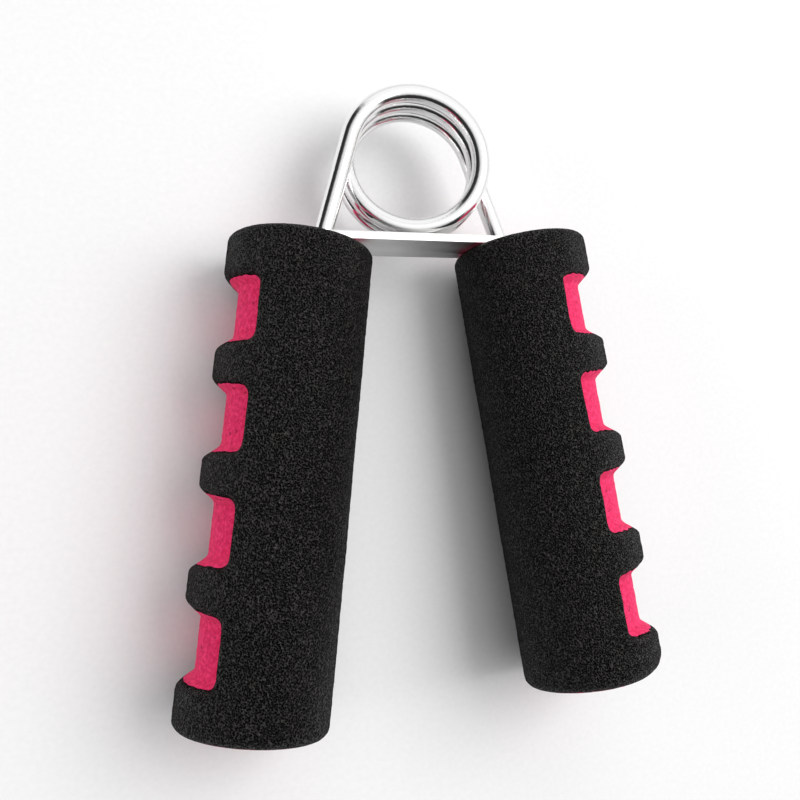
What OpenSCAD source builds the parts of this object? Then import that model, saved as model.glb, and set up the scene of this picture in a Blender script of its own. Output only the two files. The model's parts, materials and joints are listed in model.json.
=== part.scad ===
// Hand grip strengthener: a torsion spring whose two legs carry foam grips, held at rest by a
// slotted stop bracket. Millimetres, +Z up.
//
// Each piece is drawn in the spring's axes: X to the right, Y towards the coil, Z along the coil's
// axis towards the front, with the left leg and the left grip's axis in the plane Z = 0.
// lie_down() then turns the whole tool to how it rests on a table: the left grip flat on it,
// the top rim of the right grip touching it, and the origin under the middle of the bounding box.

/* [Grips] */
// Outer diameter of each grip
grip_d = 31.5; // [28:0.5:34]
// Length of each grip
grip_l = 101.5; // [98:0.5:112]
// Angle between each grip's axis and the middle line
grip_splay = 7; // [5:0.5:9]
// Distance between the two grips' axes at their tops
grip_spacing = 52.8; // [50:0.2:56]
// How much nearer to the coil the right grip sits on its leg
right_grip_lift = 3.6; // [2:0.2:4]
// Thickness of the black outer foam
skin_t = 1.4; // [1:0.1:2]
// Rounding of the foam's end edges
edge_r = 2; // [1.5:0.1:3]
// Diameter of the plastic core
core_d = 18; // [17.5:0.5:19]
// How far the core's top lies below the foam's top
core_recess = 0.6; // [0.5:0.1:1]

/* [Finger grooves] */
// Number of grooves on each grip
groove_count = 4; // [3:1:4]
// Distance from one groove to the next
groove_pitch = 22.6; // [21.6:0.2:23]
// Length of a groove at the grip's surface
groove_l = 16.6; // [15:0.2:18]
// Length of a groove at its floor
groove_floor_l = 10.2; // [9:0.2:12]
// Depth of a groove, through the black foam and into the pink
groove_depth = 3.5; // [2.5:0.1:4]
// How far round the grip a groove reaches
groove_angle = 114; // [90:2:120]
// How far the middle of the left grip's grooves is turned from straight outwards to the front
left_sleeve_turn = 3.5; // [0:0.5:15]
// The same for the right grip
right_sleeve_turn = 18.5; // [15:0.5:30]

/* [Spring] */
// Diameter of the wire
wire_d = 4.2; // [3.8:0.1:4.4]
// Mean diameter of the coil
coil_d = 31.3; // [30:0.1:32]
// Rise of the wire along the coil's axis in one turn
coil_pitch = 4.7; // [4.6:0.1:5]
// Distance from the top of the left grip to the coil's axis, along Y
coil_rise = 21.7; // [21.5:0.1:23]
// Angle between the left bare leg and the middle line
left_leg_angle = 16; // [15:0.5:17]
// Angle between the right bare leg and the middle line
right_leg_angle = 18; // [15:0.5:18.5]
// Length of the straight end of a leg on its core's axis
leg_tail = 42; // [20:1:50]

/* [Stop bracket] */
// Width of the steel strip
strip_w = 12; // [11:0.5:14]
// Thickness of the strip
strip_t = 1.8; // [1.5:0.1:2]
// Metal left beyond each slot
strip_margin = 3.5; // [3:0.1:4]
// Radius of the strip's corners
strip_corner_r = 2.5; // [1:0.1:3]
// Clearance between a leg and the sides of its slot
slot_clearance = 0.3; // [0.2:0.05:0.4]
// Gap between the strip and the tops of the cores
strip_gap = 0.15; // [0.1:0.05:0.4]
// Angle through which the grips close together
squeeze_angle = 22.4; // [20:0.2:22.4]

/* [Hidden] */
$fn = 96;

left = -1;
right = 1;
wire_r = wire_d / 2;
coil_r = coil_d / 2;
grip_r = grip_d / 2;
foam_line_r = grip_r - skin_t;
core_r = core_d / 2;
groove_floor_r = grip_r - groove_depth;
bore_clearance = 0.05;
entry_clearance = 0.3;

// The coil starts at the left leg, runs clockwise over the top and ends at the right leg.
coil_turns = 2 + (180 - left_leg_angle - right_leg_angle) / 360;
leg_offset = coil_turns * coil_pitch;
coil_rings = 90;
wire_sides = 16;

// Places in the spring's axes: the left grip's top is at Y = 0.
function top_y(side) = side == right ? right_grip_lift : 0;
function leg_z(side) = side == right ? -leg_offset : 0;
function leg_angle(side) = side == right ? right_leg_angle : left_leg_angle;
function down(side, angle) = [side * sin(angle), -cos(angle), 0];
function tangent_point(side) =
    let (a = leg_angle(side)) [side * coil_r * cos(a), coil_rise + coil_r * sin(a), leg_z(side)];
function grip_top(side) = [side * grip_spacing / 2, top_y(side), leg_z(side)];
function cross_z(a, b) = a[0] * b[1] - a[1] * b[0];

// Length of the bare leg's line from the coil to where it meets the core's axis,
// and the distance of that point below the grip's top.
function leg_run(side) =
    cross_z(grip_top(side) - tangent_point(side), down(side, grip_splay))
    / cross_z(down(side, leg_angle(side)), down(side, grip_splay));
function leg_meets_axis(side) =
    cross_z(grip_top(side) - tangent_point(side), down(side, leg_angle(side)))
    / cross_z(down(side, leg_angle(side)), down(side, grip_splay));
bend_overlap = 1;

// Distance of a leg's line from the middle line at a height, for a leg at an angle, and half the
// width that the leg and its clearance take up in the strip.
function leg_x(y, angle) = coil_r / cos(angle) + (coil_rise - y) * tan(angle);
function slot_reach(angle) =
    wire_r / cos(angle) + strip_t / 2 * abs(tan(angle)) + slot_clearance;

// The strip leans with the line through both cores' tops, and its left end clears the left core.
strip_slope = right_grip_lift / grip_spacing;
strip_lean = atan(strip_slope);
function strip_end_x(side) =
    leg_x(strip_t / 2, leg_angle(side)) + slot_reach(leg_angle(side)) + strip_margin;
strip_l = strip_end_x(left) + strip_end_x(right);
strip_mid_x = (strip_end_x(right) - strip_end_x(left)) / 2;
strip_y = right_grip_lift / 2 + strip_t / 2 + strip_gap - core_recess
    + (strip_end_x(left) - grip_spacing / 2) * (tan(grip_splay) + strip_slope);
strip_z = -leg_offset / 2;
strip_skew = atan(leg_offset / (leg_x(strip_y, left_leg_angle) + leg_x(strip_y, right_leg_angle)));

// A slot reaches from its leg at rest to the same leg with the grips closed.
function strip_y_at(side) = strip_y + side * leg_x(strip_y, leg_angle(side)) * strip_slope;
function closed_angle(side) = leg_angle(side) - squeeze_angle / 2;
function slot_out_x(side) =
    leg_x(strip_y_at(side), leg_angle(side)) + slot_reach(leg_angle(side));
function slot_in_x(side) =
    leg_x(strip_y_at(side), closed_angle(side)) - slot_reach(closed_angle(side));

// Lying down: turned about the left grip's axis until the right grip's top rim comes level with it.
rim_gap = grip_spacing * cos(grip_splay) - right_grip_lift * sin(grip_splay)
    + edge_r * sin(2 * grip_splay);
lie_angle = atan(leg_offset / rim_gap);
lie_axis = [sin(grip_splay), cos(grip_splay), 0];
function turned(v) =
    v * cos(lie_angle) - cross(lie_axis, v) * sin(lie_angle)
    + lie_axis * (lie_axis * v) * (1 - cos(lie_angle));

// Furthest reach along X or Y (axis 0 or 1, sign +1 or -1) of a grip's end and of the coil.
function grip_reach(side, axis, sign, s) =
    let (direction = turned(down(side, grip_splay)),
         rim = turned(grip_top(side) + down(side, grip_splay) * s))
    sign * rim[axis] + (grip_r - edge_r) * sqrt(1 - pow(direction[axis], 2)) + edge_r;
low_s = grip_l - edge_r;
coil_axis = turned([0, 0, 1]);
coil_top_turn = (90 - left_leg_angle) / 360 + 1;
coil_reach = turned([0, coil_rise, -coil_top_turn * coil_pitch])[1]
    + coil_r * sqrt(1 - pow(coil_axis[1], 2)) + wire_r;
min_x = -grip_reach(left, 0, -1, low_s);
max_x = grip_reach(right, 0, 1, low_s);
min_y = -max(grip_reach(left, 1, -1, low_s), grip_reach(right, 1, -1, low_s));
left_axis_height = turned(grip_top(left))[2];
origin_shift = [-(min_x + max_x) / 2, -(min_y + coil_reach) / 2, grip_r - left_axis_height];

module lie_down() {
    translate(origin_shift) rotate(a = -lie_angle, v = lie_axis) children();
}

// Puts a piece on a grip: +Z runs down the grip from its top and +Y points to the front.
module on_grip(side) {
    translate(grip_top(side)) rotate([0, 0, side * grip_splay]) rotate([90, 0, 0]) children();
}

// ---- Spring ----

module spring_coil() {
    rings = [
        for (i = [0:coil_rings])
            let (t = i / coil_rings * coil_turns, a = 180 - left_leg_angle - 360 * t)
            [for (j = [0:wire_sides - 1])
                let (b = 360 * j / wire_sides, r = coil_r + wire_r * cos(b))
                [r * cos(a), coil_rise + r * sin(a), wire_r * sin(b) - coil_pitch * t]]
    ];
    points = [for (ring = rings) for (p = ring) p];
    sides = [
        for (i = [0:coil_rings - 1]) for (j = [0:wire_sides - 1])
            let (k = (j + 1) % wire_sides, a = i * wire_sides, b = a + wire_sides)
            [a + j, b + j, b + k, a + k]
    ];
    first = [for (j = [0:wire_sides - 1]) j];
    last = [for (j = [wire_sides - 1:-1:0]) coil_rings * wire_sides + j];
    color("silver") polyhedron(points, concat([first], sides, [last]), convexity = 8);
}

// One leg: straight from the coil, bent onto the core's axis and on down the core.
module spring_leg(side) {
    color("silver") {
        translate(tangent_point(side)) rotate([0, 0, side * leg_angle(side)]) rotate([90, 0, 0])
            cylinder(r = wire_r, h = leg_run(side) + bend_overlap);
        on_grip(side) translate([0, 0, leg_meets_axis(side) - bend_overlap])
            cylinder(r = wire_r, h = leg_tail + bend_overlap);
    }
}

module spring_left_leg() { spring_leg(left); }
module spring_right_leg() { spring_leg(right); }

// ---- Stop bracket ----

module rounded_plate(length, width, r) {
    square([length, width - 2 * r], center = true);
    square([length - 2 * r, width], center = true);
    for (x = [-1, 1], y = [-1, 1])
        translate([x * (length / 2 - r), y * (width / 2 - r)]) circle(r);
}

// A slot runs along the way its leg travels, which is square to the coil's axis.
module leg_slot(side) {
    r = wire_r + slot_clearance;
    outer = slot_out_x(side) - r;
    inner = slot_in_x(side) + r;
    translate([side * (outer + inner) / 2, leg_z(side) - strip_z]) {
        square([outer - inner, 2 * r], center = true);
        for (end = [-1, 1]) translate([end * (outer - inner) / 2, 0]) circle(r);
    }
}

module stop_bracket() {
    color("gainsboro")
        translate([0, strip_y, strip_z]) rotate([0, 0, strip_lean]) rotate([90, 0, 0])
            linear_extrude(strip_t, center = true) difference() {
                translate([strip_mid_x, 0]) rotate(-strip_skew)
                    rounded_plate(strip_l / cos(strip_skew), strip_w, strip_corner_r);
                leg_slot(left);
                leg_slot(right);
            }
}

// ---- Grips ----

// Half of the grip's cross-section, with rounded end edges.
module grip_outline() {
    square([grip_r - edge_r, grip_l]);
    translate([0, edge_r]) square([grip_r, grip_l - 2 * edge_r]);
    for (s = [edge_r, grip_l - edge_r]) translate([grip_r - edge_r, s]) circle(edge_r);
}

module foam_tube(inner_r, outer_r) {
    rotate_extrude() intersection() {
        grip_outline();
        translate([inner_r, -1]) square([outer_r - inner_r, grip_l + 2]);
    }
}

// Places a foam sleeve, whose grooves are cut on its +X side, with them facing outwards.
module sleeve(side) {
    on_grip(side) rotate(side == right ? right_sleeve_turn : 180 - left_sleeve_turn) children();
}

// The finger grooves, as one ring sector each with sloping walls.
module grooves() {
    outer_r = grip_r + 2;
    flare = (groove_l - groove_floor_l) / 2 * (outer_r - groove_floor_r) / groove_depth;
    half_floor = groove_floor_l / 2;
    for (i = [0:groove_count - 1])
        translate([0, 0, grip_l / 2 + (i - (groove_count - 1) / 2) * groove_pitch])
            rotate(-groove_angle / 2) rotate_extrude(angle = groove_angle)
                polygon([
                    [groove_floor_r, -half_floor], [outer_r, -half_floor - flare],
                    [outer_r, half_floor + flare], [groove_floor_r, half_floor]
                ]);
}

module outer_foam(side) {
    color("#1d1d1f") sleeve(side) difference() {
        foam_tube(foam_line_r, grip_r + 1);
        grooves();
    }
}

module inner_foam(side) {
    color("#f0346f") sleeve(side) difference() {
        foam_tube(core_r, foam_line_r);
        grooves();
    }
}

// The moulded core: one sloping hole lets the leg in, and a blind bore holds its straight end.
module core(side) {
    color("#2a2a2c") difference() {
        on_grip(side) translate([0, 0, core_recess])
            cylinder(r = core_r, h = grip_l - core_recess);
        on_grip(side) translate([0, 0, leg_meets_axis(side) - 2 * bend_overlap])
            cylinder(r = wire_r + bore_clearance, h = leg_tail + 3 * bend_overlap);
        translate(tangent_point(side)) rotate([0, 0, side * leg_angle(side)]) rotate([90, 0, 0])
            cylinder(r = wire_r + entry_clearance, h = leg_run(side) + 3 * bend_overlap);
    }
}

module left_core() { core(left); }
module left_inner_foam() { inner_foam(left); }
module left_outer_foam() { outer_foam(left); }
module right_core() { core(right); }
module right_inner_foam() { inner_foam(right); }
module right_outer_foam() { outer_foam(right); }

lie_down() spring_coil();
lie_down() spring_left_leg();
lie_down() spring_right_leg();
lie_down() stop_bracket();
lie_down() left_core();
lie_down() left_inner_foam();
lie_down() left_outer_foam();
lie_down() right_core();
lie_down() right_inner_foam();
lie_down() right_outer_foam();
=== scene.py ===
"""Hand grip strengthener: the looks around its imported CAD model.

Lengths are in metres. The grips and the spring are placed from the record's mounts and joint.
"""
import math

import bmesh
import bpy
import numpy as np
from mathutils import Matrix, Vector, noise
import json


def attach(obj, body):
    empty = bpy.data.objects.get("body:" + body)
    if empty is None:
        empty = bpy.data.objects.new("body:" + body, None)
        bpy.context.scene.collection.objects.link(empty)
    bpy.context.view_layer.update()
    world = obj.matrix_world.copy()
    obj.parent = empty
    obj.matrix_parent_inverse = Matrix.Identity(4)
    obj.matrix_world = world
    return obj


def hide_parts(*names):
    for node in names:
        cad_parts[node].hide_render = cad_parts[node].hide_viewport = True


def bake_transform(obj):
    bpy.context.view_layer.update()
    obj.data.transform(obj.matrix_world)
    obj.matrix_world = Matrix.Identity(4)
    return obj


MM = 0.001
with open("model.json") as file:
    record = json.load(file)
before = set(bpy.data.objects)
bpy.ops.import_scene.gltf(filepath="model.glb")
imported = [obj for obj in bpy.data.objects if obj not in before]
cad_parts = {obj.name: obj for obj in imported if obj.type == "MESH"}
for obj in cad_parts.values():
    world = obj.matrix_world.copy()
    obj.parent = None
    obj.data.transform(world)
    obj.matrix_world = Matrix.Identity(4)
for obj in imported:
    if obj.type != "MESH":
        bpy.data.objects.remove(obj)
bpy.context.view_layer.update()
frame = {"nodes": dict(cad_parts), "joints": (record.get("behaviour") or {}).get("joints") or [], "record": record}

# Grips
GRIP_R = 15.75 * MM
GRIP_L = 101.5 * MM
SKIN_T = 1.4 * MM           # black foam over the pink
CORE_R = 9 * MM
TOP_EDGE_R = 1.6 * MM       # rounding of the upper end's edge
LOW_EDGE_R = 2.2 * MM       # rounding of the lower end's edge
SLEEVE_TURN = {"left": math.radians(3.5), "right": math.radians(18.5)}
WORN_L = 4.8 * MM           # the right grip's lower outer edge is more rounded, over this length
WORN_T = 2.3 * MM
WORN_TURN = math.radians(20)
SLANT_L = 20 * MM           # the right grip's upper end is cut a little aslant
SLANT_T = 0.6 * MM
SWELL_T = 0.12 * MM         # the foam's slow unevenness and its fine roughness
ROUGH_T = 0.11 * MM
BORDER_WANDER = 0.16 * MM   # how far a groove's edge wanders
RAGGED_T = 0.1 * MM         # how uneven the black foam's thickness is, broadly and finely
FINE_RAGGED_T = {"left": 0.2 * MM, "right": 0.45 * MM}

# Finger grooves
GROOVE_COUNT = 4
GROOVE_PITCH = 22.6 * MM
GROOVE_L = 16.6 * MM
GROOVE_HALF_ANGLE = math.radians(57)
GROOVE_DEPTH = 3.45 * MM
GROOVE_WALL_RUN = 2.7 * MM  # how far a wall between grooves slopes along the grip
GROOVE_END_RUN = 1.3 * MM   # how far a groove's end slopes round the grip
GROOVE_CORNER_R = 2.4 * MM  # at the front
GROOVE_TAPER = 18.9 * MM    # length of a groove's rounded end, at the back
GROOVE_END_POWER = 3        # 2 would make that end an ellipse, and more makes it squarer
GROOVE_BLUR = 0.42 * MM     # rounding of the ground edges
GROOVE_DROP = 1.2 * MM      # how far its upper edge falls towards the front

# Spring
WIRE_R = 2.1 * MM
COIL_R = 15.65 * MM
COIL_PITCH = 4.7 * MM
LEG_ANGLE = {"left": math.radians(16), "right": math.radians(18)}
LEG_TAIL = 42 * MM
BEND_R = 14 * MM

# ---- Places, from the record ----

record = frame["record"]
squeeze = next(j for j in frame["joints"] if j["name"] == "squeeze")
mounts = {m["name"]: m for m in record["mounts"]}
COIL_AXIS = Vector(squeeze["axis"]).normalized()
COIL_MID = Vector(squeeze["pos_m"])


def grip_frame(side):
    """The matrix from a grip's own axes to the row's.

    +Z runs down the grip from its top and +Y to the front.
    """
    end = mounts[side + "_grip_end"]
    down = Vector(end["axis"]).normalized()
    front = (COIL_AXIS - down * COIL_AXIS.dot(down)).normalized()
    across = front.cross(down)
    top = Vector(end["pos_m"]) - down * GRIP_L
    turned = Matrix((across, front, down)).transposed().to_4x4()
    return Matrix.Translation(top) @ turned


GRIPS = {side: grip_frame(side) for side in ("left", "right")}


def spring_frame():
    """The matrix from the spring's axes to the row's.

    +Z is the coil's axis, to the front, and +Y points away from the grips. The origin is on the
    coil's axis, level with the left leg.
    """
    rise = -(GRIPS["left"].col[2].xyz + GRIPS["right"].col[2].xyz)
    up = (rise - COIL_AXIS * COIL_AXIS.dot(rise)).normalized()
    turned = Matrix((up.cross(COIL_AXIS), up, COIL_AXIS)).transposed().to_4x4()
    return Matrix.Translation(COIL_MID + COIL_AXIS * LEG_OFFSET / 2) @ turned


COIL_TURNS = 2 + (math.pi - sum(LEG_ANGLE.values())) / (2 * math.pi)
LEG_OFFSET = COIL_TURNS * COIL_PITCH
SPRING = spring_frame()


# ---- Meshes ----

def mesh_object(name, vertices, faces):
    """A smooth-shaded object from points and faces in the row's frame."""
    data = bpy.data.meshes.new(name)
    corners = [tuple(int(k) for k in face) for face in faces]
    data.from_pydata([tuple(v) for v in vertices], [], corners)
    data.shade_smooth()
    obj = bpy.data.objects.new(name, data)
    bpy.context.scene.collection.objects.link(obj)
    return obj


def placed(matrix, points):
    """Points, an array with x, y, z in its last axis, taken through a matrix."""
    m = np.array(matrix)
    return points @ m[:3, :3].T + m[:3, 3]


def smooth_noise(points, wavelength, seed):
    """Perlin noise of about -1 to 1 at each point."""
    offset = Vector((seed * 7.3, seed * 3.1, seed * 5.7))
    flat = points.reshape(-1, 3) / wavelength
    values = [noise.noise(Vector(p) + offset) for p in flat]
    return np.array(values).reshape(points.shape[:-1])


# ---- Foam ----

GRID_STEP = 0.5 * MM
PHI_STEPS = int(2 * math.pi * GRIP_R / GRID_STEP)


def edge_arc(radius, steps=7):
    """Radius and depth below the end face along an end's rounded edge, from the face outwards."""
    turn = np.linspace(0, math.pi / 2, steps + 1)
    return GRIP_R - radius + radius * np.sin(turn), radius - radius * np.cos(turn)


def foam_profile():
    """Radius and distance down the grip of the sleeve's outline, from one end face to the other."""
    face_r = np.linspace(CORE_R, GRIP_R - LOW_EDGE_R, 8)[:-1]
    top_r, top_s = edge_arc(TOP_EDGE_R)
    low_r, low_s = edge_arc(LOW_EDGE_R)
    side_s = np.arange(TOP_EDGE_R + GRID_STEP, GRIP_L - LOW_EDGE_R - GRID_STEP / 2, GRID_STEP)
    side_r = np.full(len(side_s), GRIP_R)
    low_face = np.full(len(face_r), GRIP_L)
    radius = np.concatenate([face_r, top_r, side_r, low_r[::-1], face_r[::-1]])
    down = np.concatenate([np.zeros(len(face_r)), top_s, side_s, GRIP_L - low_s[::-1], low_face])
    return radius, down


def in_groove(front, along, share):
    """Whether points are in a groove at a share of its depth.

    They are given by their way round and along the grip. The groove's outline has square corners,
    rounded a little, at the front and a rounded end at the back. Its upper edge falls to the front.
    """
    half_round = GROOVE_HALF_ANGLE * GRIP_R - share * GROOVE_END_RUN
    half_along = GROOVE_L / 2 - share * GROOVE_WALL_RUN
    fall = np.clip(front / half_round, 0, 1) * GROOVE_DROP
    along = np.where(along < 0, along * half_along / (half_along - fall), along)
    corner = GROOVE_CORNER_R * (1 - 0.3 * share)
    past_x = np.maximum(front - (half_round - corner), 0)
    past_y = np.maximum(np.abs(along) - (half_along - corner), 0)
    shoulder = GROOVE_TAPER - GROOVE_HALF_ANGLE * GRIP_R
    to_end = np.minimum(front - shoulder, 0) / (shoulder + half_round)
    end = np.abs(to_end) ** GROOVE_END_POWER + np.abs(along / half_along) ** GROOVE_END_POWER
    return (np.hypot(past_x, past_y) < corner) & (end < 1)


def groove_share(front, along):
    """How deep the ground surface lies at each point, as a share of the groove's full depth."""
    low, high = np.zeros_like(front), np.ones_like(front)
    for _ in range(18):
        middle = (low + high) / 2
        inside = in_groove(front, along, middle)
        low = np.where(inside, middle, low)
        high = np.where(inside, high, middle)
    return low


def blurred(field, sigma, step):
    """A Gaussian blur over the sleeve's grid: round the grip (closed) and down it."""
    for axis in (0, 1):
        reach = int(3 * sigma / step) + 1
        weights = np.exp(-0.5 * (np.arange(-reach, reach + 1) * step / sigma) ** 2)
        weights /= weights.sum()
        mode = "wrap" if axis == 0 else "edge"
        pad = [(reach, reach) if a == axis else (0, 0) for a in (0, 1)]
        wide = np.pad(field, pad, mode=mode)
        length = field.shape[axis]
        field = sum(
            w * np.take(wide, range(k, k + length), axis=axis) for k, w in enumerate(weights)
        )
    return field


def sleeve_shape(side):
    """The ground outer surface of one grip's foam: radius, distance down and angle on a grid.

    Also gives the radius of the line between black and pink foam at each point.
    """
    seed = 1 if side == "left" else 2
    base_r, base_s = foam_profile()
    phi = np.arange(PHI_STEPS) * 2 * math.pi / PHI_STEPS
    angle, radius = np.meshgrid(phi, base_r, indexing="ij")
    down = np.broadcast_to(base_s, angle.shape).copy()
    round_grip = np.stack([GRIP_R * np.cos(angle), GRIP_R * np.sin(angle), down], -1)

    to_front = math.pi - angle if side == "left" else angle
    to_front = (to_front - SLEEVE_TURN[side] + math.pi) % (2 * math.pi) - math.pi
    wander = BORDER_WANDER * smooth_noise(round_grip, 5 * MM, seed + 10)
    share = np.zeros_like(angle)
    for i in range(GROOVE_COUNT):
        centre = GRIP_L / 2 + (i - (GROOVE_COUNT - 1) / 2) * GROOVE_PITCH
        share = np.maximum(share, groove_share(to_front * GRIP_R + wander, down - centre + wander))
    depth = blurred(share * GROOVE_DEPTH, GROOVE_BLUR, GRID_STEP)

    swell = SWELL_T * smooth_noise(round_grip, 22 * MM, seed)
    swell += ROUGH_T * smooth_noise(round_grip, 1.1 * MM, seed + 20)
    spread = (radius - CORE_R) / (GRIP_R - CORE_R)
    if side == "right":
        low_end = np.maximum(down - (GRIP_L - WORN_L), 0)
        swell -= WORN_T * (low_end / WORN_L) ** 2 * np.maximum(np.cos(angle - WORN_TURN), 0) ** 1.5
        near_top = np.maximum(1 - down / SLANT_L, 0)
        down = down - SLANT_T * (1 + np.cos(angle)) / 2 * near_top
    radius = radius + swell * spread - depth
    ragged = RAGGED_T * smooth_noise(round_grip, 2.4 * MM, seed + 30)
    ragged += FINE_RAGGED_T[side] * smooth_noise(round_grip, 1.1 * MM, seed + 40)
    line = GRIP_R - SKIN_T + swell + ragged
    return radius, down, angle, line


def snap_to_line(radius, down, angle, line):
    """Moves the grid points next to the black and pink foam's border onto it.

    Gives each point's side: 1 black, -1 pink, 0 on the border.
    """
    value = radius - line
    best = np.full(value.shape, 0.5)
    moved = [radius.copy(), down.copy(), angle.copy(), line.copy()]
    fields = [radius, down, angle, line]
    for axis, step in ((0, 1), (0, -1), (1, 1), (1, -1)):
        near = [np.roll(f, step, axis) for f in fields]
        if axis == 0:
            near[2] = angle + (near[2] - angle + math.pi) % (2 * math.pi) - math.pi
        there = near[0] - near[3]
        crosses = value * there < 0
        if axis == 1:
            crosses[:, 0 if step == 1 else -1] = False
        part = np.where(crosses, value / np.where(crosses, value - there, 1), 1)
        closer = part <= best
        best = np.where(closer, part, best)
        moved = [np.where(closer, f + part * (n - f), m) for f, n, m in zip(fields, near, moved)]
    on_border = best < 0.5
    sign = np.where(on_border, 0, np.sign(value)).astype(int)
    moved[3] = np.where(on_border, moved[0], moved[3])
    return (*moved, sign)


def cylinder_points(radius, angle, down):
    return np.stack([radius * np.cos(angle), radius * np.sin(angle), down], -1).reshape(-1, 3)


def grid_triangles(shape, sign):
    """The grid's triangles, cut so that none has points on both sides of the border."""
    rows, columns = shape
    i, j = np.meshgrid(np.arange(rows), np.arange(columns - 1), indexing="ij")
    a = i * columns + j
    b = (i + 1) % rows * columns + j
    c, d = b + 1, a + 1
    flat = sign.reshape(-1)
    swap = (flat[a] * flat[c] < 0)
    first = np.where(swap[..., None], np.stack([a, b, d], -1), np.stack([a, b, c], -1))
    second = np.where(swap[..., None], np.stack([b, c, d], -1), np.stack([a, c, d], -1))
    return np.concatenate([first.reshape(-1, 3), second.reshape(-1, 3)])


def drop_unused(points, faces):
    used, faces = np.unique(faces, return_inverse=True)
    return points[used], faces.reshape(-1, 3)


def foam(side):
    """One grip's two foam pieces: the pink sleeve and the black skin round it."""
    radius, down, angle, line, sign = snap_to_line(*sleeve_shape(side))
    shape = radius.shape
    ground = placed(GRIPS[side], cylinder_points(radius, angle, down))
    under = placed(GRIPS[side], cylinder_points(np.minimum(radius, line), angle, down))
    ground[:, 2] = np.maximum(ground[:, 2], 0)      # flat where it rests
    triangles = grid_triangles(shape, sign)
    flat = sign.reshape(-1)
    count = len(ground)

    bore = []
    rows, columns = shape
    for i in range(rows):
        k = (i + 1) % rows
        low, high = i * columns, k * columns
        bore += [(low, low + columns - 1, high + columns - 1), (low, high + columns - 1, high)]
    sleeve = mesh_object(side + "_foam_sleeve", under, np.concatenate([triangles, np.array(bore)]))

    black = triangles[(flat[triangles].min(1) >= 0) & (flat[triangles].max(1) > 0)]
    inner = np.where(flat[black] > 0, black + count, black)[:, ::-1]
    points, faces = drop_unused(np.concatenate([ground, under]), np.concatenate([black, inner]))
    skin = mesh_object(side + "_foam_skin", points, faces)
    return sleeve, skin


# ---- Spring ----

def fillet(before, corner, after, radius, steps=10):
    """Points of the arc that rounds a corner off between two straight stretches."""
    back = (before - corner).normalized()
    on = (after - corner).normalized()
    half = back.angle(on) / 2
    reach = radius / math.tan(half)
    centre = corner + (back + on).normalized() * radius / math.sin(half)
    start, end = corner + back * reach, corner + on * reach
    arc = [(start - centre).slerp(end - centre, k / steps) for k in range(steps + 1)]
    return [centre + p.normalized() * radius for p in arc]


def leg_path(side):
    """A leg's centre line in the spring's axes, from the coil to its end in the core."""
    hand = -1 if side == "left" else 1
    depth = 0 if side == "left" else -LEG_OFFSET
    turn = LEG_ANGLE[side]
    start = Vector((hand * math.cos(turn), math.sin(turn), 0)) * COIL_R
    way = Vector((hand * math.sin(turn), -math.cos(turn), 0))
    to_spring = SPRING.inverted() @ GRIPS[side]
    top, down = to_spring.translation, to_spring.col[2].xyz
    gap = start - top
    reach = (gap.y * down.x - gap.x * down.y) / (way.x * down.y - way.y * down.x)
    level = Vector((0, 0, depth))
    corner = start + way * reach + level
    end = corner + Vector((down.x, down.y, 0)).normalized() * LEG_TAIL
    start = start + level
    straight = [start.lerp(corner, k / 16) for k in range(1, 13)]
    return straight + fillet(start, corner, end, BEND_R) + [end]


def coil_path(steps_per_turn=64):
    """The coil's centre line, which eases in and out of its pitch where the legs leave it."""
    steps = round(COIL_TURNS * steps_per_turn)
    turn = np.linspace(0, COIL_TURNS, steps + 1)
    ease = np.clip(turn / 0.12, 0, 1) * np.clip((COIL_TURNS - turn) / 0.12, 0, 1)
    fall = np.concatenate([[0], np.cumsum((ease[1:] + ease[:-1]) / 2)])
    fall *= LEG_OFFSET / fall[-1]
    angle = math.pi - LEG_ANGLE["left"] - 2 * math.pi * turn
    return [Vector((COIL_R * math.cos(a), COIL_R * math.sin(a), -z)) for a, z in zip(angle, fall)]


def swept_wire(name, path, radius, sides=32):
    """A round wire along a path, with flat closed ends."""
    tangents = []
    for i in range(len(path)):
        a, b = path[max(i - 1, 0)], path[min(i + 1, len(path) - 1)]
        tangents.append((b - a).normalized())
    normal = tangents[0].orthogonal().normalized()
    points = []
    for i, (centre, tangent) in enumerate(zip(path, tangents)):
        if i:
            normal = tangents[i - 1].rotation_difference(tangent) @ normal
        other = tangent.cross(normal)
        for k in range(sides):
            a = 2 * math.pi * k / sides
            points.append(centre + (normal * math.cos(a) + other * math.sin(a)) * radius)
    faces = []
    for i in range(len(path) - 1):
        for k in range(sides):
            n = (k + 1) % sides
            a, b = i * sides, (i + 1) * sides
            faces.append((a + k, a + n, b + n, b + k))
    faces.append(tuple(range(sides))[::-1])
    faces.append(tuple(range((len(path) - 1) * sides, len(path) * sides)))
    return mesh_object(name, points, faces)


def spring():
    path = leg_path("left")[::-1] + coil_path() + leg_path("right")
    return swept_wire("spring_wire", [SPRING @ p for p in path], WIRE_R)


# ---- CAD pieces with softened edges ----

def softened(node, name, width):
    """A copy of a CAD node's mesh with its sharp edges rounded over."""
    data = frame["nodes"][node].data.copy()
    data.materials.clear()
    obj = bpy.data.objects.new(name, data)
    bpy.context.scene.collection.objects.link(obj)
    shape = bmesh.new()
    shape.from_mesh(data)
    bmesh.ops.remove_doubles(shape, verts=shape.verts, dist=0.002 * MM)
    bmesh.ops.dissolve_limit(
        shape, angle_limit=math.radians(1), verts=shape.verts, edges=shape.edges
    )
    shape.to_mesh(data)
    shape.free()
    data.shade_smooth()
    bevel = obj.modifiers.new("soft edges", "BEVEL")
    bevel.width = width
    bevel.segments = 3
    bevel.angle_limit = math.radians(30)
    bevel.harden_normals = True
    with bpy.context.temp_override(object=obj, active_object=obj):
        bpy.ops.object.modifier_apply(modifier=bevel.name)
    return obj


# ---- Materials ----

def grey(value):
    return (value, value, value, 1)


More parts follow.
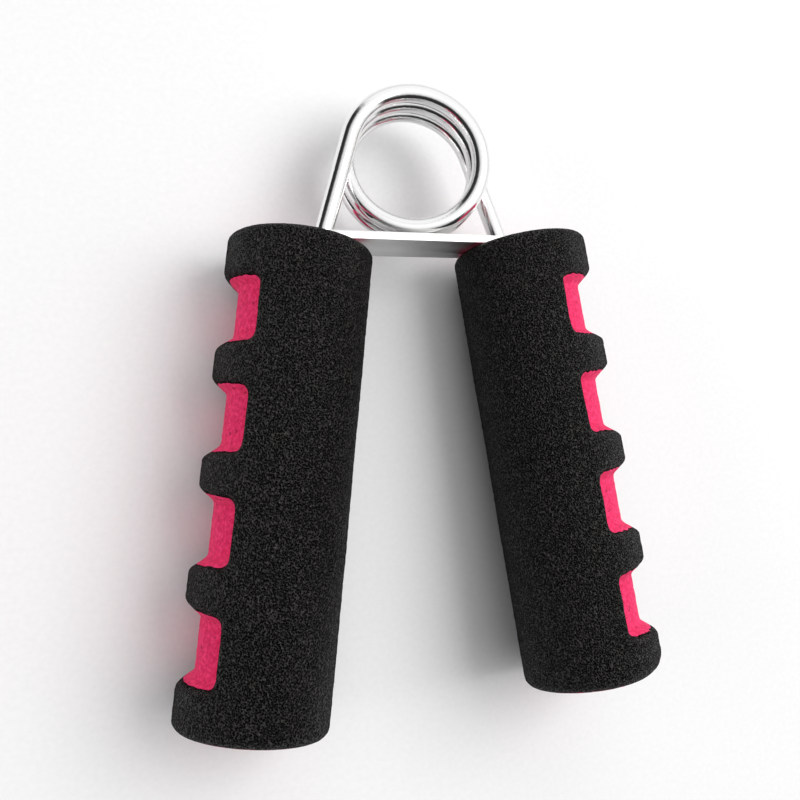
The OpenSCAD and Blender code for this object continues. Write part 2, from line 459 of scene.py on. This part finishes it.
def fill_ramp(ramp, stops):
    """Sets a colour ramp's stops: places and their colours."""
    elements = ramp.color_ramp.elements
    while len(elements) < len(stops):
        elements.new(0.5)
    for element, (place, colour) in zip(elements, stops):
        element.position = place
        element.color = colour if len(colour) == 4 else (*colour, 1)


class Nodes:
    """A short way to write a material's node tree."""

    def __init__(self, name):
        self.material = bpy.data.materials.new(name)
        self.material.use_nodes = True
        self.tree = self.material.node_tree
        self.shader = self.tree.nodes["Principled BSDF"]
        self.place = self.node("ShaderNodeTexCoord").outputs["Object"]

    def node(self, kind, **inputs):
        made = self.tree.nodes.new(kind)
        for key, value in inputs.items():
            self.feed(made.inputs[key.replace("_", " ")], value)
        return made

    def feed(self, socket, value):
        if isinstance(value, bpy.types.NodeSocket):
            self.tree.links.new(value, socket)
        else:
            socket.default_value = value

    def grain(self, size, detail=2.0):
        """Noise whose features are about size across."""
        made = self.node("ShaderNodeTexNoise", Vector=self.place, Scale=1 / size, Detail=detail)
        return made.outputs["Fac"]

    def cells(self, size):
        """Distance from the middles of cells about size across."""
        made = self.node("ShaderNodeTexVoronoi", Vector=self.place, Scale=1 / size)
        return made.outputs["Distance"]

    def ramp(self, value, *stops):
        """Colours or greys at places along a value."""
        made = self.node("ShaderNodeValToRGB", Fac=value)
        fill_ramp(made, stops)
        return made.outputs["Color"]

    def mix(self, share, a, b, blend="MIX"):
        made = self.tree.nodes.new("ShaderNodeMix")
        made.data_type = "RGBA"
        made.blend_type = blend
        self.feed(made.inputs["Factor"], share)
        self.feed(made.inputs["A"], a)
        self.feed(made.inputs["B"], b)
        return made.outputs["Result"]

    def bump(self, height, distance, strength=1.0, normal=None):
        made = self.node("ShaderNodeBump", Height=height, Distance=distance, Strength=strength)
        if normal is not None:
            self.feed(made.inputs["Normal"], normal)
        return made.outputs["Normal"]

    def finish(self, **sockets):
        for key, value in sockets.items():
            self.feed(self.shader.inputs[key.replace("_", " ")], value)
        return self.material


def black_foam():
    """Open cells: bumped pits in a dark net; the colour paints shade into the pits and light onto the walls."""
    n = Nodes("black_foam")
    net = n.cells(0.36 * MM)
    fine = n.grain(0.24 * MM, detail=1.0)
    coarse = n.grain(7 * MM, detail=1.0)
    # Painted shade and light: the colour is darkest at each cell's middle, the pit, and lightest at its border,
    # the wall.
    painted_pit_shade = n.ramp(
        net,
        (0.2, (0.0006, 0.0006, 0.0006)),
        (0.5, (0.005, 0.0048, 0.0045)),
        (0.85, (0.036, 0.034, 0.031)),
    )
    patchy = n.ramp(fine, (0.38, grey(0.4)), (0.62, grey(1.6)))
    facing = n.node("ShaderNodeLayerWeight", Blend=0.5).outputs["Facing"]
    edge_on = n.ramp(facing, (0.45, grey(1)), (0.9, grey(0.05)))
    gloss = n.mix(1.0, n.ramp(net, (0.3, grey(0.02)), (0.8, grey(0.42))), edge_on, "MULTIPLY")
    tone = n.ramp(coarse, (0.3, grey(0.92)), (0.7, grey(1.08)))
    colour = n.mix(1.0, n.mix(1.0, painted_pit_shade, patchy, "MULTIPLY"), tone, "MULTIPLY")
    normal = n.bump(fine, 0.2 * MM, 1.0, n.bump(net, 0.8 * MM, 1.0))
    return n.finish(Base_Color=colour, Roughness=0.5, Specular_IOR_Level=gloss, Normal=normal)


def pink_foam():
    """Closed cells: a fine speckle with a few darker pores."""
    n = Nodes("pink_foam")
    blotch = n.grain(0.9 * MM, detail=2.0)
    fine = n.grain(0.4 * MM, detail=2.0)
    colour = n.ramp(
        blotch,
        (0.34, (0.66, 0.018, 0.1)), (0.52, (0.76, 0.028, 0.13)), (0.7, (0.86, 0.045, 0.175)),
    )
    light = n.ramp(fine, (0.3, grey(0.84)), (0.7, grey(1.12)))
    pores = n.ramp(n.grain(1.1 * MM, detail=0.0), (0.74, grey(1)), (0.8, grey(0.6)))
    normal = n.bump(fine, 0.1 * MM, 0.8)
    return n.finish(
        Base_Color=n.mix(1.0, n.mix(1.0, colour, light, "MULTIPLY"), pores, "MULTIPLY"),
        Roughness=0.8, Specular_IOR_Level=0.25, Normal=normal,
    )


def plated_wire():
    n = Nodes("plated_wire")
    mottle = n.grain(0.8 * MM, detail=3.0)
    wide = n.grain(7 * MM, detail=1.0)
    rough = n.ramp(wide, (0.3, grey(0.05)), (0.7, grey(0.13)))
    normal = n.bump(mottle, 0.035 * MM, 0.6)
    return n.finish(Base_Color=(0.9, 0.9, 0.897, 1), Metallic=1.0, Roughness=rough, Normal=normal)


def plated_strip():
    n = Nodes("plated_strip")
    mottle = n.grain(0.6 * MM, detail=3.0)
    wide = n.grain(5 * MM, detail=2.0)
    rough = n.ramp(wide, (0.3, grey(0.38)), (0.7, grey(0.46)))
    normal = n.bump(mottle, 0.01 * MM, 0.3)
    return n.finish(Base_Color=(0.62, 0.62, 0.617, 1), Metallic=1.0, Roughness=rough, Normal=normal)


def moulded_plastic():
    n = Nodes("moulded_plastic")
    fine = n.grain(0.35 * MM, detail=2.0)
    wide = n.grain(4 * MM, detail=2.0)
    colour = n.ramp(wide, (0.35, (0.022, 0.022, 0.023)), (0.65, (0.034, 0.034, 0.036)))
    rough = n.ramp(fine, (0.3, grey(0.38)), (0.7, grey(0.52)))
    return n.finish(Base_Color=colour, Roughness=rough, Normal=n.bump(fine, 0.02 * MM, 0.5))


def pale_floor():
    n = Nodes("pale_floor")
    paper = n.grain(1.2 * MM, detail=2.0)
    colour = n.ramp(paper, (0.3, (0.83, 0.835, 0.845)), (0.7, (0.86, 0.863, 0.87)))
    return n.finish(Base_Color=colour, Roughness=0.75, Specular_IOR_Level=0.2)


def dress(obj, material):
    obj.data.materials.clear()
    obj.data.materials.append(material)


# ---- The object ----

def add_foam():
    black, pink = black_foam(), pink_foam()
    for side in ("left", "right"):
        sleeve, skin = foam(side)
        for obj, material, slot, node in (
            (sleeve, pink, "pink_foam", side + "_inner_foam"),
            (skin, black, "black_foam", side + "_outer_foam"),
        ):
            dress(obj, material)
            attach(obj, side + "_grip")
            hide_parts(node)


def add_spring():
    wire = spring()
    dress(wire, plated_wire())
    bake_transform(wire)
    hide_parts("spring_coil", "spring_left_leg", "spring_right_leg")


def add_bracket():
    strip = softened("stop_bracket", "stop_strip", 0.22 * MM)
    dress(strip, plated_strip())
    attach(strip, "bracket")
    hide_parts("stop_bracket")


def add_cores():
    plastic = moulded_plastic()
    for side in ("left", "right"):
        core = softened(side + "_core", side + "_handle_core", 0.4 * MM)
        dress(core, plastic)
        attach(core, side + "_grip")
        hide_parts(side + "_core")


# ---- Floor, light and camera ----

FLOOR_HALF = 3.0
WINDOW_WAY = (0.76, 0.65, 0)    # the bright side of the studio
WINDOW_EDGE = (0.18, 0.38)      # how far towards it the studio turns from dark to bright
BACKDROP = (0.86, 0.865, 0.875, 1)
LIGHTS_AIM = Vector((0, 0, 0.015))
CAMERA_PLACE = (-73.6 * MM, -22.1 * MM, 191.1 * MM)
CAMERA_TURN = (6.81, -21.26, -1.86)
CAMERA_LENS = 38.06
SENSOR_WIDTH = 36


def add_floor():
    signs = ((-1, -1), (1, -1), (1, 1), (-1, 1))
    corners = [(x * FLOOR_HALF, y * FLOOR_HALF, 0) for x, y in signs]
    floor = mesh_object("floor", corners, [(0, 1, 2, 3)])
    dress(floor, pale_floor())


def soft_light(name, place, size, power, colour=(1, 1, 1), mirrored=True):
    """A square soft light, aimed at the middle of the object, which metal may mirror."""
    data = bpy.data.lights.new(name, "AREA")
    data.shape = "SQUARE"
    data.size = size
    data.energy = power
    data.color = colour
    lamp = bpy.data.objects.new(name, data)
    lamp.location = place
    lamp.visible_glossy = mirrored
    aim = LIGHTS_AIM - lamp.location
    lamp.rotation_euler = aim.to_track_quat("-Z", "Y").to_euler()
    bpy.context.scene.collection.objects.link(lamp)


def add_world():
    """A studio that is white overhead and to the right, and dark low down to the left and in front.

    The camera itself sees a plain pale backdrop.
    """
    world = bpy.data.worlds.new("studio")
    world.use_nodes = True
    bpy.context.scene.world = world
    tree = world.node_tree
    link = tree.links.new
    way = tree.nodes.new("ShaderNodeTexCoord").outputs["Generated"]
    split = tree.nodes.new("ShaderNodeSeparateXYZ")
    link(way, split.inputs[0])

    def heights(*stops):
        made = tree.nodes.new("ShaderNodeValToRGB")
        fill_ramp(made, [(place, grey(value)) for place, value in stops])
        link(split.outputs["Z"], made.inputs[0])
        return made.outputs["Color"]

    def mixed(share, a, b):
        made = tree.nodes.new("ShaderNodeMix")
        made.data_type = "RGBA"
        link(share, made.inputs["Factor"])
        for socket, value in ((made.inputs["A"], a), (made.inputs["B"], b)):
            if isinstance(value, bpy.types.NodeSocket):
                link(value, socket)
            else:
                socket.default_value = value
        return made.outputs["Result"]

    dark_side = heights((0.0, 0.1), (0.1, 0.02), (0.64, 0.04), (0.8, 0.75), (1.0, 1.15))
    bright_side = heights((0.0, 0.75), (0.4, 1.0), (1.0, 1.1))
    to_window = tree.nodes.new("ShaderNodeVectorMath")
    to_window.operation = "DOT_PRODUCT"
    to_window.inputs[1].default_value = WINDOW_WAY
    link(way, to_window.inputs[0])
    share = tree.nodes.new("ShaderNodeMapRange")
    share.interpolation_type = "SMOOTHSTEP"
    share.inputs["From Min"].default_value, share.inputs["From Max"].default_value = WINDOW_EDGE
    link(to_window.outputs["Value"], share.inputs[0])
    room = mixed(share.outputs[0], dark_side, bright_side)
    seen = tree.nodes.new("ShaderNodeLightPath").outputs["Is Camera Ray"]
    link(mixed(seen, room, BACKDROP), tree.nodes["Background"].inputs["Color"])


def add_camera():
    """Above the grips and a little to their left, looking down on the tool's front."""
    data = bpy.data.cameras.new("camera")
    data.lens = CAMERA_LENS
    data.sensor_width = SENSOR_WIDTH
    camera = bpy.data.objects.new("camera", data)
    camera.location = CAMERA_PLACE
    camera.rotation_euler = [math.radians(a) for a in CAMERA_TURN]
    bpy.context.scene.collection.objects.link(camera)
    bpy.context.scene.camera = camera


add_foam()
add_spring()
add_bracket()
add_cores()
add_floor()
add_world()
soft_light("key", (0.34, 0.12, 0.62), 0.5, 2.85, (1, 0.99, 0.97))
soft_light("fill", (-0.5, 0, 0.14), 0.3, 0.85, mirrored=False)
add_camera()
bpy.context.scene.view_settings.view_transform = "Standard"
